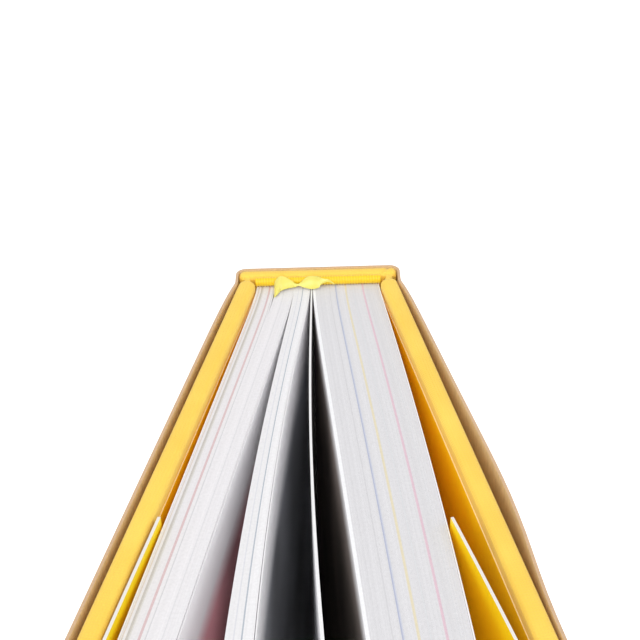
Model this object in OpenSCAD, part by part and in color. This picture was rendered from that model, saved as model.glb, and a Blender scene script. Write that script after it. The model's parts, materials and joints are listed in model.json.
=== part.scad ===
// Hardcover photo book that stands on its tail, with its covers a little open and its leaves fanned.
// +Z points to the head, +X to the back cover and -Y to the fore edge.
// x = 0 is the middle of the spine, y = 0 the middle of its thickness and z = 0 the tail edge of the case.

/* [Case] */
// How far the case stands past the leaves at the head and at the tail
square = 2; // [1.8:0.1:5]
// How far the covers stand past the leaves at the fore edge
fore_square = 3; // [1:0.5:6]
// Thickness of a covered board
cover_t = 3.5; // [2.5:0.1:5]
// Thickness of the covered spine
spine_t = 3; // [2:0.1:5]
// Width of the cloth joint between the spine and a board
joint_w = 2.1; // [1.6:0.1:6]
// Gap between the joint's cloth lip and a board
joint_clear = 0.3; // [0.2:0.05:0.6]
// Thickness of the covering cloth
cloth_t = 0.4; // [0.2:0.05:0.6]
// Width of cloth that is turned in over the inside of a board
turn_in = 15; // [8:1:25]
// Rounding of the covered edges
edge_r = 1.2; // [0.6:0.1:1.4]

/* [Opening] */
// Angle that the front cover stands open, counted from shut
front_open = 12.1; // [10:0.1:20]
// Angle that the back cover stands open, counted from shut
back_open = 10.8; // [9:0.1:20]
// Angle by which the outermost front leaf lags behind the front cover
front_slack = 0.6; // [0.4:0.1:3]
// Angle by which the outermost back leaf lags behind the back cover
back_slack = 3; // [2.6:0.1:6]

/* [Endpapers] */
// Thickness of a pastedown above the turned-in cloth
paste_t = 0.25; // [0.1:0.05:0.4]
// Gap between a pastedown and a flyleaf at the joint
paste_clear = 0.3; // [0.25:0.05:0.6]
// Cloth left showing round a pastedown
paste_margin = 3; // [2:0.5:6]
// Strip along the joint that a pastedown leaves clear
paste_hinge = 1.5; // [1:0.5:4]
// Thickness of a flyleaf
fly_t = 0.2; // [0.15:0.05:0.3]
// Gap between a flyleaf and the leaves at the spine
fly_gap = 0.1; // [0.05:0.05:0.15]
// How much wider that gap is at the fore edge
fly_spread = 0.3; // [0:0.1:0.5]

/* [Leaves] */
// Width of a leaf, from the back to the fore edge
page_w = 148; // [130:1:230]
// Height of a leaf
page_h = 210; // [150:1:310]
// Thickness of all the leaves at the back
block_t = 26.6; // [24:0.1:40]
// Thickness of the stack next to the front cover
front_stack_t = 8; // [6:0.1:10]
// Thickness of the stack in the middle
middle_stack_t = 3.6; // [2:0.1:5]
// Room at the back for the two loose leaves
loose_room = 0.5; // [0.4:0.05:0.6]
// Thickness of a loose leaf
leaf_t = 0.2; // [0.15:0.01:0.22]
// Depth of the glued back, where the leaves don't part
glue_depth = 6; // [5:0.5:12]
// Length over which the outermost front leaf bends away from the back
front_bend = 7; // [5:0.5:9]
// Length over which the other leaves bend away from the back
inner_bend = 5; // [3:0.5:8]
// Length over which the back stack's inner side bends away from the back
back_bend = 8; // [4:0.5:10]
// Length over which the outermost back leaf bends away from the back
rear_bend = 1.8; // [1.8:0.1:4]
// Curl of the middle stack at the fore edge, towards the back cover
middle_curl = 10; // [4:0.1:11]
// How much more the inner side of the middle stack curls
middle_more = 2.9; // [0:0.1:3]
// Curl of the loose leaves at the fore edge, towards the back cover
loose_curl = 10; // [6:0.1:12]
// How much more the second loose leaf curls
loose_more = 0.2; // [0.1:0.1:1]
// Curl of the back stack's inner side at the fore edge, towards the front cover
back_curl = 1.1; // [0:0.1:2]
// Curl of the outermost back leaf at the fore edge, towards the front cover
rear_curl = 7; // [4:0.5:8]

/* [Back lining and bands] */
// Thickness of the gauze lining on the back of the leaves
lining_t = 0.6; // [0.4:0.1:1]
// Lining kept short of the block at each side
lining_inset = 1; // [0:0.5:4]
// Height of a band's glued tape
band_h = 10; // [6:1:16]
// How far a band's bead reaches past the leaves at each side
band_over = 0.6; // [0:0.1:0.6]
// Radius of a band's bead
bead_r = 0.8; // [0.5:0.05:0.9]
// Gap under and behind a bead
bead_gap = 0.05; // [0.02:0.01:0.1]

/* [Ribbon] */
// Width of the ribbon marker
ribbon_w = 6; // [3:0.5:6]
// Thickness of the ribbon marker
ribbon_t = 0.25; // [0.15:0.05:0.4]
// Thickness of the leaves that lie in front of the ribbon
ribbon_in = 3.5; // [2:0.1:5]
// Where the middle of the ribbon goes down, from the back of the leaves
ribbon_u = 4.3; // [4:0.1:8]
// Height of the ribbon's free end above the tail of the leaves
ribbon_end = 15; // [5:1:60]
// Clearance of the ribbon between the leaves
ribbon_clear = 0.3; // [0.2:0.05:0.5]

/* [Jacket] */
// Thickness of the jacket's card
jacket_t = 0.7; // [0.3:0.05:0.9]
// Slack between the jacket and the outside of the case
jacket_gap = 1.4; // [0.6:0.1:2]
// Slack between the jacket and the case at the joints
jacket_seat = 0.5; // [0.4:0.1:0.6]
// Length over which a panel springs off its cover
jacket_spring = 6; // [6:0.5:12]
// Jacket kept short of the case at the head and at the tail
jacket_trim = 0.3; // [0:0.1:3]
// Length of a flap, from the fore-edge fold to its free edge
flap_w = 76; // [40:1:90]
// Gap between a flap and the pastedown at the fold
flap_seat = 0.3; // [0.2:0.05:0.4]
// How far the front panel bows off the cover, halfway to the fore edge
front_bow = 0.1; // [0:0.1:2]
// How far the back panel bows off the cover, halfway to the fore edge
back_bow = 0.3; // [0:0.1:2]
// How far the front flap's free edge springs off the cover
front_lift = 0.4; // [0:0.1:0.5]
// How far the back flap's free edge springs off the cover
back_lift = 4.1; // [0:0.1:4.2]
// Half of the gap in the jacket at each joint
jacket_break = 0.4; // [0.3:0.05:0.5]
// Radius of the jacket's bends at the spine
jacket_r = 2; // [1:0.1:2.4]

/* [Hidden] */

cloth_yellow = "#fede69";
paper_white = "#f2f1f3";
endpaper_amber = "#eaa616";
band_yellow = "#f5d60f";
ribbon_lemon = "#f0e66e";
card_tan = "#b98f62";
board_grey = "#9a948b";
gauze_cream = "#e8e0cc";

// Depth by which a cut passes the face that it opens
cut = 0.1;
// Smallest rounding that a board keeps under its cloth
least_r = 0.1;
// Points in a rounded corner, along a fold and along a curved leaf
corner_steps = 5;
fold_steps = 12;
leaf_steps = 14;
// Power that crowds a leaf's points towards the spine, where it bends, and a panel's points towards the joint
leaf_crowding = 1.5;
// Leans of the inner leaves as shares of the outermost leaf's lean
front_inner_lean = 0.94;
middle_lean = 0.775;
loose_first_lean = 0.174;
loose_second_lean = 0.165;
back_inner_lean = 0.731;

// Places of the spine, the joint and the leaves along Y
spine_front = -spine_t / 2;
block_back = spine_front - lining_t;
joint_y = spine_front - joint_w;
cover_end = block_back - page_w - fore_square;
cover_w = joint_y - cover_end;

// Places of the back cover along X while it is shut
cover_in = block_t / 2 + fly_gap + fly_t + paste_clear + paste_t;
cover_out = cover_in + cover_t;
spine_w = 2 * cover_out;

// Hinge lines run along the outside of the jacket, level with the boards' inner ends
hinge_x = cover_out + jacket_seat + jacket_t;
hinge_y = joint_y;

// Heights of the case and the leaves
case_h = page_h + 2 * square;
tail_z = square;
head_z = tail_z + page_h;

// Front of the head band's bead
bead_front = spine_front - bead_gap - 2 * bead_r;

// Curves of the fanned leaves: place at the back, lean in degrees, bend at the spine, curl at the fore edge
block_left = -block_t / 2;
block_right = block_t / 2;
front_split = block_left + front_stack_t;
middle_split = front_split + middle_stack_t;
loose_split = middle_split + loose_room;
front_lean = front_open - front_slack;
back_lean = back_open - back_slack;
front_outer = [block_left, -front_lean, front_bend, 0];
front_inner = [front_split, -front_inner_lean * front_lean, inner_bend, 0];
middle_outer = [front_split, -middle_lean * front_lean, inner_bend, middle_curl];
middle_inner = [middle_split, -middle_lean * front_lean, inner_bend, middle_curl + middle_more];
loose_first = [middle_split + loose_room / 4, -loose_first_lean * front_lean, inner_bend, loose_curl];
loose_second = [
    loose_split - loose_room / 4, -loose_second_lean * front_lean, inner_bend, loose_curl + loose_more
];
back_inner = [loose_split, back_inner_lean * back_lean, back_bend, -back_curl];
back_outer = [block_right, back_lean, rear_bend, -rear_curl];

// Ribbon route over the head: x, depth from the bead, height above the head, tilt across and turn downwards
// in degrees, share of the ribbon's width
ribbon_x = block_left + ribbon_in;
ribbon_y = block_back - ribbon_u;
ribbon_steps = 4;
ribbon_route = [
    [4, 1.5, 0.7, 20, 0, 0.35],
    [1.5, 1.3, 1.5, 50, 0, 0.5],
    [-1.5, 1.3, 1.8, 60, 0, 0.6],
    [-4, 1.7, 1.3, 40, 0, 0.4],
    [-6.5, 2.4, 1.7, 25, 0, 0.8],
    [ribbon_x + 1.3, 3.1, 1.4, 8, 15, 0.95],
    [ribbon_x, bead_front - ribbon_y, 0.2, 0, 90, 1]
];

// Points on an arc
function arc(cx, cy, r, from, to, steps) =
    [for (i = [0 : steps]) let (a = from + (to - from) * i / steps) [cx + r * cos(a), cy + r * sin(a)]];

// Outline of a rectangle with rounded corners
function round_rect(x0, y0, x1, y1, r) = concat(
    arc(x1 - r, y1 - r, r, 0, 90, corner_steps),
    arc(x0 + r, y1 - r, r, 90, 180, corner_steps),
    arc(x0 + r, y0 + r, r, 180, 270, corner_steps),
    arc(x1 - r, y0 + r, r, 270, 360, corner_steps));

function reversed(list) = [for (i = [len(list) - 1 : -1 : 0]) list[i]];

function unit(v) = v / norm(v);

// Direction of a path at one of its points
function along(path, i) = unit(path[min(i + 1, len(path) - 1)] - path[max(i - 1, 0)]);

// Points of a path moved sideways
function beside(path, d) = [for (i = [0 : len(path) - 1]) let (v = along(path, i)) path[i] + d * [v[1], -v[0]]];

// Outline of a sheet of thickness t that follows a path
function sheet_outline(path, t) = concat(beside(path, t / 2), reversed(beside(path, -t / 2)));

// Where a fanned leaf runs at depth u from the back of the block
function fan_x(curve, u) =
    curve[0] + tan(curve[1]) * (u - curve[2] * (1 - exp(-u / curve[2]))) + curve[3] * pow(u / page_w, 2);

// Depth at which a leaf of the full width ends, because it leans
function fan_end(curve) = page_w * cos(atan((fan_x(curve, page_w) - curve[0]) / page_w));

// Points along a fanned leaf, moved sideways by a gap that grows towards the fore edge
function fan_points(curve, from, gap = 0, spread = 0) =
    [for (i = [0 : leaf_steps])
        let (u = from + (fan_end(curve) - from) * pow(i / leaf_steps, leaf_crowding))
        [fan_x(curve, u) + gap + spread * u / page_w, block_back - u]];

// Both sides of a stack of leaves, out along the first curve and back along the second
function stack_sides(first, second) = concat(
    fan_points(first, glue_depth),
    reversed(fan_points(second, glue_depth)));

function loose_sides(curve) = concat(
    fan_points(curve, glue_depth, -leaf_t / 2),
    reversed(fan_points(curve, glue_depth, leaf_t / 2)));

// Slab of the case's height with rounded edges, kept inside its own outline by an inset
module rounded_slab(x0, x1, y0, y1, inset = 0) {
    r = max(edge_r - inset, least_r);
    intersection() {
        translate([0, 0, inset]) linear_extrude(case_h - 2 * inset)
            polygon(round_rect(x0 + inset, y0 + inset, x1 - inset, y1 - inset, r));
        translate([0, y1 - inset, 0]) rotate([90, 0, 0]) linear_extrude(y1 - y0 - 2 * inset)
            polygon(round_rect(x0 + inset, inset, x1 - inset, case_h - inset, r));
    }
}

// Turns a shape modelled on the shut back cover into one of the two open covers
module on_cover(side, angle) {
    translate([side * hinge_x, hinge_y, 0])
        rotate([0, 0, side * angle])
            mirror([side < 0 ? 1 : 0, 0, 0])
                translate([-hinge_x, -hinge_y, 0])
                    children();
}

module cover_board() {
    rounded_slab(cover_in, cover_out, cover_end, joint_y, cloth_t);
}

// Part of the inside of a cover that the turned-in cloth leaves bare
module cover_window(depth) {
    translate([cover_in, cover_end + turn_in, turn_in])
        cube([depth, cover_w - turn_in - paste_hinge, case_h - 2 * turn_in]);
}

module cover_cloth() {
    difference() {
        rounded_slab(cover_in, cover_out, cover_end, joint_y);
        cover_board();
        translate([-cut, 0, 0]) cover_window(cloth_t + 2 * cut);
    }
}

module cover_pastedown() {
    union() {
        translate([cover_in - paste_t, cover_end + paste_margin, paste_margin])
            cube([paste_t, cover_w - paste_margin - paste_hinge, case_h - 2 * paste_margin]);
        cover_window(cloth_t);
    }
}

// Outer panel, fore-edge fold and flap of the jacket, which springs off the cover at its free edge
module cover_jacket(bow, lift) {
    panel_x = cover_out + jacket_gap + jacket_t / 2;
    panel_y = joint_y - jacket_break;
    seat = jacket_gap - jacket_seat;
    flap_x = cover_in - paste_t - flap_seat - jacket_t / 2;
    fold_x = (panel_x + flap_x) / 2;
    fold_r = (panel_x - flap_x) / 2;
    corner_reach = max(cover_out - fold_x, fold_x - cover_in);
    fold_y = cover_end - flap_seat + sqrt(pow(fold_r - jacket_t / 2, 2) - pow(corner_reach, 2));
    path = concat(
        [for (i = [0 : fold_steps - 1])
            let (s = pow(i / fold_steps, leaf_crowding))
            let (y = panel_y + (fold_y - panel_y) * s)
            [panel_x + 4 * bow * s * (1 - s) - seat * exp((y - panel_y) / jacket_spring), y]],
        arc(fold_x, fold_y, fold_r, 0, -180, fold_steps),
        [for (i = [1 : fold_steps]) let (s = i / fold_steps) [flap_x - lift * pow(s, 3), fold_y + flap_w * s]]);
    translate([0, 0, jacket_trim])
        linear_extrude(case_h - 2 * jacket_trim) polygon(sheet_outline(path, jacket_t));
}

// Endpaper leaf that lies along the outermost leaf
module flyleaf(curve, side) {
    inner = fan_points(curve, 0, side * fly_gap, side * fly_spread);
    outer = fan_points(curve, 0, side * (fly_gap + fly_t), side * fly_spread);
    translate([0, 0, tail_z]) linear_extrude(page_h) polygon(concat(inner, reversed(outer)));
}

// Rolled bead that lies over the end of the leaves, with the tape that is glued to their back
module end_band() {
    bead_y = spine_front - bead_gap - bead_r;
    bead_z = head_z + bead_gap + bead_r;
    translate([block_left - band_over, bead_y, bead_z])
        rotate([0, 90, 0]) cylinder(r = bead_r, h = block_t + 2 * band_over, $fn = 48);
    translate([block_left, block_back, head_z - band_h]) cube([block_t, lining_t, band_h + bead_gap + bead_r]);
}

module spine_board() {
    color(board_grey) rounded_slab(-spine_w / 2, spine_w / 2, spine_front, spine_t / 2, cloth_t);
}

// Cloth round the spine, with a lip at each side that reaches into the joint
module spine_cloth() {
    lip = joint_w - joint_clear;
    color(cloth_yellow) union() {
        difference() {
            rounded_slab(-spine_w / 2, spine_w / 2, spine_front, spine_t / 2);
            rounded_slab(-spine_w / 2, spine_w / 2, spine_front, spine_t / 2, cloth_t);
            translate([block_left, spine_front - cut, turn_in])
                cube([block_t, cloth_t + 2 * cut, case_h - 2 * turn_in]);
        }
        for (side = [-1, 1])
            translate([side * (cover_out - cloth_t / 2) - cloth_t / 2, spine_front - lip, edge_r])
                cube([cloth_t, lip + edge_r, case_h - 2 * edge_r]);
    }
}

module spine_lining() {
    color(gauze_cream)
        translate([block_left + lining_inset, block_back, tail_z + band_h])
            cube([block_t - 2 * lining_inset, lining_t, page_h - 2 * band_h]);
}

// All the leaves: three stacks and two loose leaves that part from one glued back
module text_block() {
    outline = concat(
        fan_points(front_outer, 0),
        reversed(fan_points(front_inner, glue_depth)),
        stack_sides(middle_outer, middle_inner),
        loose_sides(loose_first),
        loose_sides(loose_second),
        fan_points(back_inner, glue_depth),
        reversed(fan_points(back_outer, 0)));
    slot_x = ribbon_t + 2 * ribbon_clear;
    slot_y = ribbon_w + 2 * ribbon_clear;
    color(paper_white) difference() {
        translate([0, 0, tail_z]) linear_extrude(page_h) polygon(outline);
        translate([ribbon_x - slot_x / 2, ribbon_y - slot_y / 2, tail_z + ribbon_end - ribbon_clear])
            cube([slot_x, slot_y, page_h]);
    }
}

module head_band() {
    color(band_yellow) end_band();
}

module tail_band() {
    color(band_yellow) translate([0, 0, case_h]) mirror([0, 0, 1]) end_band();
}

// Point on a smooth curve through a list of points, at a share t of the span after point i
function smooth_point(list, i, t) =
    let (a = list[max(i - 1, 0)])
    let (b = list[i])
    let (c = list[i + 1])
    let (d = list[min(i + 2, len(list) - 1)])
    b + (c - a) * t / 2 + (2 * a - 5 * b + 4 * c - d) * pow(t, 2) / 2 + (3 * b - a - 3 * c + d) * pow(t, 3) / 2;

// Four corners of the ribbon's section about a centre
function ribbon_ring(centre, tilt, turn, width) =
    let (w = width / 2 * [-sin(tilt) * sin(turn), cos(tilt), sin(tilt) * cos(turn)])
    let (n = ribbon_t / 2 * [-cos(tilt) * sin(turn), -sin(tilt), cos(tilt) * cos(turn)])
    [centre - w - n, centre + w - n, centre + w + n, centre - w + n];

// Ribbon that twists over the head and goes down between the leaves
module ribbon_marker() {
    over_head = [for (i = [0 : len(ribbon_route) - 2]) for (k = [0 : ribbon_steps - 1])
        smooth_point(ribbon_route, i, k / ribbon_steps)];
    rings = concat(
        [for (p = concat(over_head, [ribbon_route[len(ribbon_route) - 1]]))
            ribbon_ring([p[0], bead_front - p[1], head_z + p[2]], p[3], p[4], ribbon_w * p[5])],
        [ribbon_ring([ribbon_x, ribbon_y, tail_z + ribbon_end], 0, 90, ribbon_w)]);
    last = 4 * (len(rings) - 1);
    sides = [for (i = [0 : 4 : last - 4]) for (k = [0 : 3])
        let (a = i + k)
        let (b = i + (k + 1) % 4)
        each k == 2 ? [[a, b, a + 4], [b, b + 4, a + 4]] : [[a, b, b + 4], [a, b + 4, a + 4]]];
    faces = concat([[3, 2, 1, 0]], sides, [[last, last + 1, last + 2, last + 3]]);
    color(ribbon_lemon) polyhedron(points = [for (ring = rings) each ring], faces = faces);
}

module front_flyleaf() {
    color(endpaper_amber) flyleaf(front_outer, -1);
}

module back_flyleaf() {
    color(endpaper_amber) flyleaf(back_outer, 1);
}

// Jacket behind the spine, with its bends and the short returns that reach the joints
module jacket_spine() {
    side_x = cover_out + jacket_seat + jacket_t / 2;
    back_y = spine_t / 2 + jacket_gap + jacket_t / 2;
    bend_y = back_y - jacket_r;
    path = concat(
        [[side_x, joint_y + jacket_break]],
        arc(side_x - jacket_r, bend_y, jacket_r, 0, 90, corner_steps),
        arc(jacket_r - side_x, bend_y, jacket_r, 90, 180, corner_steps),
        [[-side_x, joint_y + jacket_break]]);
    color(card_tan) translate([0, 0, jacket_trim])
        linear_extrude(case_h - 2 * jacket_trim) polygon(sheet_outline(path, jacket_t));
}

module front_board() {
    color(board_grey) on_cover(-1, front_open) cover_board();
}

module front_cloth() {
    color(cloth_yellow) on_cover(-1, front_open) cover_cloth();
}

module front_pastedown() {
    color(endpaper_amber) on_cover(-1, front_open) cover_pastedown();
}

module jacket_front() {
    color(card_tan) on_cover(-1, front_open) cover_jacket(front_bow, front_lift);
}

module back_board() {
    color(board_grey) on_cover(1, back_open) cover_board();
}

module back_cloth() {
    color(cloth_yellow) on_cover(1, back_open) cover_cloth();
}

module back_pastedown() {
    color(endpaper_amber) on_cover(1, back_open) cover_pastedown();
}

module jacket_back() {
    color(card_tan) on_cover(1, back_open) cover_jacket(back_bow, back_lift);
}

spine_board();
spine_cloth();
spine_lining();
text_block();
head_band();
tail_band();
ribbon_marker();
front_flyleaf();
back_flyleaf();
jacket_spine();
front_board();
front_cloth();
front_pastedown();
jacket_front();
back_board();
back_cloth();
back_pastedown();
jacket_back();
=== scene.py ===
"""Cloth, paper, card and ribbon for a hardcover photo book that stands a little open."""

import json
import math
import random
from functools import cache, partial

import bmesh
import bpy
import numpy as np
from bpy.props import FloatProperty, FloatVectorProperty, PointerProperty
from mathutils import Matrix, Vector, noise


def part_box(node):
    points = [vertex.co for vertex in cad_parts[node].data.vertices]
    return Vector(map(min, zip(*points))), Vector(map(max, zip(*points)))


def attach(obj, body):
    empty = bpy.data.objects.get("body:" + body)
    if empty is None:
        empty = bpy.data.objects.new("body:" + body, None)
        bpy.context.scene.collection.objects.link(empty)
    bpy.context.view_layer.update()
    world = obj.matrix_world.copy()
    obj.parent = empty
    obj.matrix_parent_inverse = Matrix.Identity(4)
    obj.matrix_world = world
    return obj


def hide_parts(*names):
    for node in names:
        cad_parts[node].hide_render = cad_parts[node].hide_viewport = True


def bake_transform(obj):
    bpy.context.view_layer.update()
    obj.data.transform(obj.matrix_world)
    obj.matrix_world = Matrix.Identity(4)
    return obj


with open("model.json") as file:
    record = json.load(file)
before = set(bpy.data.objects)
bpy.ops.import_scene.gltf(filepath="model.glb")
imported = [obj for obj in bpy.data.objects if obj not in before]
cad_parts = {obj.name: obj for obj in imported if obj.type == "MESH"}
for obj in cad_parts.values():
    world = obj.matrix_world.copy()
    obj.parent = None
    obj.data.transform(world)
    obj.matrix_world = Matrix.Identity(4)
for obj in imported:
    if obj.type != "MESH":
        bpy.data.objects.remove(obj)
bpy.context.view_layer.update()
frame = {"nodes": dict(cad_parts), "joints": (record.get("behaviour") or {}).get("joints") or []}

bl_info = {
    "name": "Hardcover photo book",
    "version": (1, 0, 0),
    "blender": (4, 5, 0),
    "location": "View3D > Sidebar > Book",
    "description": "Dresses the packed book with cloth, leaves, endpapers, bands, ribbon and jacket",
    "category": "Object",
}

MM = 0.001
UP = Vector((0, 0, 1))

# A wave texture repeats every pi / 10 units at a scale of 1.
WAVE_LENGTH = math.pi / 10

# Places read from the frame.
SPINE_LOW, SPINE_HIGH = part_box("spine_cloth")
LINING_LOW, LINING_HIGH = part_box("spine_lining")
BLOCK_LOW, BLOCK_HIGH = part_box("text_block")
JACKET_LOW, JACKET_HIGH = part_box("jacket_spine")
SPINE_EDGE, CASE_H = SPINE_HIGH.x, SPINE_HIGH.z
BLOCK_BACK, SPINE_FRONT = LINING_LOW.y, LINING_HIGH.y
TAIL, HEAD = BLOCK_LOW.z, BLOCK_HIGH.z
PAGE_H = HEAD - TAIL
HINGES = {joint["child"]: Vector(joint["pos_m"]) for joint in frame["joints"]}

# The width of a leaf, in mm.
PAGE_W = 148.0

# The two curves between which each stack of leaves is fanned. Each curve is its place at the glued back in
# mm, its lean in degrees, the length over which it bends away from the glue in mm, and its curl at the fore
# edge in mm.
FANS = {
    "front": ((-13.3, -11.2, 3.5, 0.0), (-5.3, -10.65, 5.0, 0.0)),
    "middle": ((-5.3, -8.91, 5.0, 10.0), (-1.7, -8.91, 5.0, 12.9)),
    "loose": ((-1.63, -2.0, 5.0, 10.0), (-1.27, -1.9, 5.0, 10.2)),
    "back": ((-1.2, 5.25, 8.0, -1.1), (13.3, 7.8, 1.8, -7.0)),
}

# The spine stands a little askew: how far it lies back for each unit towards the back cover.
SKEW = 0.018

# The ribbon goes down between the leaves at this share of the front stack.
RIBBON_SHARE = 20 / 42

# The ribbon's two edges over the head, from its free start to where it goes down: place, depth and height
# above the leaves in mm, first of the front edge and then of the back edge, and how far its middle stands out
# between them.
RIBBON_ROUTE = (
    (3.7, -3.15, 0.45, 3.6, -3.1, 0.75, 0.0),
    (2.2, -3.2, 1.3, 2.4, -3.05, 1.75, 0.0),
    (0.65, -3.5, 0.85, 1.35, -2.95, 1.9, 0.1),
    (0.1, -4.1, 0.3, -0.3, -3.0, 2.65, -0.3),
    (-1.35, -4.65, 0.35, -1.9, -3.0, 2.7, -0.35),
    (-2.9, -4.2, 0.4, -2.9, -3.15, 2.2, -0.2),
    (-4.4, -3.75, 0.7, -4.3, -3.55, 1.1, 0.0),
    (-5.1, -3.9, 0.5, -5.1, -3.5, 1.15, 0.1),
    (-6.65, -4.25, 0.45, -6.0, -3.2, 1.75, 0.15),
    (-8.3, -5.15, 0.35, -7.5, -2.5, 2.25, 0.25),
    (-9.25, -6.9, 0.3, -8.5, -2.5, 2.3, 0.2),
    (-9.6, -7.1, -0.3, -9.45, -3.15, 1.45, 0.1),
    (-9.65, -7.3, -1.2, -9.55, -3.3, 0.2, 0.0),
)

# Papers, boards, thread and gauze: the name of the colour, the roughness, how much the fibres vary in tone,
# and their length in mm.
FIBRE_STOCKS = {
    # Dyed paper, matt, with an even colour.
    "endpaper_amber": ("endpaper", 0.6, 0.06, 0.7),
    # The paler core that the knife opens at the endpapers' edges.
    "endpaper_cut_edge": ("endpaper_edge", 0.7, 0.05, 0.5),
    # Plain white paper, nearly even.
    "bare_paper": ("paper", 0.6, 0.03, 0.5),
    # Unbleached card, matt, with fibres that show clearly.
    "kraft_lined_card": ("kraft", 0.75, 0.14, 0.9),
    # Painted light: the card's inner faces are painted paler than its outer faces, to lift the shade in the
    # gap between the card and the cover.
    "kraft_card_lining": ("kraft_inside_painted_light", 0.75, 0.1, 0.9),
    "kraft_card_cut_edge": ("kraft_edge", 0.8, 0.1, 0.5),
    # The white pulp inside the flaps' card.
    "card_core": ("core", 0.7, 0.04, 0.4),
    # Card with a full coat of ink, smoother and a little glossy.
    "printed_flap_card": ("flap", 0.42, 0.03, 0.8),
    # Twisted cotton, dull.
    "stitch_thread": ("stitch", 0.8, 0.2, 0.2),
    # Pressed waste paper, rough and flecked.
    "greyboard": ("board", 0.85, 0.12, 1.2),
    # Open cotton stiffened with glue, dull and uneven.
    "mull_gauze": ("gauze", 0.85, 0.15, 0.8),
}


class Cover:
    """A cover's own axes: along from the joint to the fore edge, out from its inner face, and up."""

    def __init__(self, side, sign):
        self.side = side
        self.sign = sign
        self.body = side + "_cover"
        self.hinge = HINGES[self.body]
        self.next_leaf = FANS[side][0 if sign < 0 else 1]
        board = self.outline(side + "_board")
        along = Vector((*np.linalg.eigh(np.cov(board.T))[1][:, 1], 0))
        self.along = along if along.y < 0 else -along
        out = Vector((self.along.y, -self.along.x, 0))
        self.out = out if out.x * sign > 0 else -out
        low, high = self.reach(side + "_cloth")
        self.start = low[0]
        self.length, self.thick = high - low
        self.place = Matrix((self.along, self.out, UP)).transposed().to_4x4()
        self.place.translation = self.along * low[0] + self.out * low[1]

    def outline(self, node):
        """The corners of a node in plan, each one once."""
        points = [tuple(vert.co.xy) for vert in frame["nodes"][node].data.vertices]
        return np.unique(np.round(points, 7), axis=0)

    def reach(self, node):
        """The lowest and highest place of a node along and out, before the origin is taken off."""
        axes = np.array([self.along.xy, self.out.xy]).T
        places = self.outline(node) @ axes
        return places.min(axis=0), places.max(axis=0)

    def point(self, along, out):
        """The place in plan of a point on the cover."""
        return (self.place @ Vector((along, out, 0)))[:2]

    def lay(self, bm):
        """Move a bmesh from the cover's own axes to its place, and turn its faces outwards."""
        bmesh.ops.transform(bm, matrix=self.place, verts=bm.verts)
        bmesh.ops.recalc_face_normals(bm, faces=bm.faces)


COVERS = (Cover("front", -1), Cover("back", 1))


def linear(colour):
    """An sRGB hex colour as linear red, green, blue and alpha."""
    shares = [int(colour[place:place + 2], 16) / 255 for place in (1, 3, 5)]
    return [share / 12.92 if share <= 0.04045 else ((share + 0.055) / 1.055) ** 2.4
            for share in shares] + [1.0]


def size(name, default, description):
    """A length that a user may change, given in mm."""
    return FloatProperty(name=name, default=default * MM, description=description, subtype="DISTANCE",
                         unit="LENGTH")


def colour(name, default, description):
    """A colour that a user may change, given as sRGB hex."""
    return FloatVectorProperty(name=name, default=linear(default), description=description, subtype="COLOR",
                               size=4, min=0, max=1)


class BookSizes(bpy.types.PropertyGroup):
    """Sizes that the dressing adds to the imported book."""

    cloth_round: size("Cloth edge", 1.3, "Radius of the cloth over the boards' edges")
    joint_round: size("Cloth at the joint", 1.65, "Radius of the covers' ends at the joints")
    thread: size("Cloth thread", 0.55, "Spacing of the cloth's threads")
    slack: size("Cloth slack", 0.05, "How far the cloth lies unevenly on the boards")
    padding: size("Padding", 0.3, "How far the cloth stands proud of the boards' inner faces")
    paste_t: size("Pastedown", 0.2, "Thickness of the glued endpaper")
    paste_margin: size("Turn-in margin", 2.8, "Cloth that shows round the glued endpaper")
    paste_hinge: size("Hinge margin", 1.5, "Distance of the glued endpaper from the joint")
    fly_t: size("Flyleaf", 0.25, "Thickness of the free endpaper")
    fly_gap: size("Flyleaf gap", 0.03, "Gap between the flyleaf and the next leaf at the back")
    fly_spread: size("Flyleaf spread", 0.03, "How much further the flyleaf stands off at the fore edge")
    leaf_pitch: size("Leaf pitch", 0.19, "Spacing of the leaves at the glued back")
    page_margin: size("Page margin", 11.0, "Blank margin round the printed field of a page")
    rib: size("Band rib", 0.6, "Spacing of the ribs of the head band and the tail band")
    bead_deep: size("Bead depth", 0.95, "Half of a band's bead from front to back")
    bead_high: size("Bead height", 1.05, "Half of a band's bead from the leaves up")
    stitch: size("Band stitch", 0.1, "Radius of the dark stitches under the bands")
    ribbon_w: size("Ribbon width", 6.0, "Width over which the ribbon's threads are spaced")
    ribbon_t: size("Ribbon thickness", 0.15, "Thickness of the ribbon marker")
    jacket_t: size("Jacket card", 0.55, "Thickness of the jacket's card")
    jacket_seat: size("Jacket seat", 0.15, "Slack of the jacket at the joints and behind the spine")
    jacket_spring: size("Jacket spring", 6.0, "Length over which the jacket springs off at the joints")
    flap_w: size("Flap width", 76.35, "Width of the jacket's flaps")
    flap_in: size("Flap place", 0.9, "Distance of a flap's middle from the boards' inner faces at its fold")
    front_lift: size("Front flap lift", 0.4, "How far the front flap's free edge stands off")
    back_lift: size("Back flap lift", 4.5, "How far the back flap's free edge stands off")


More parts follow.
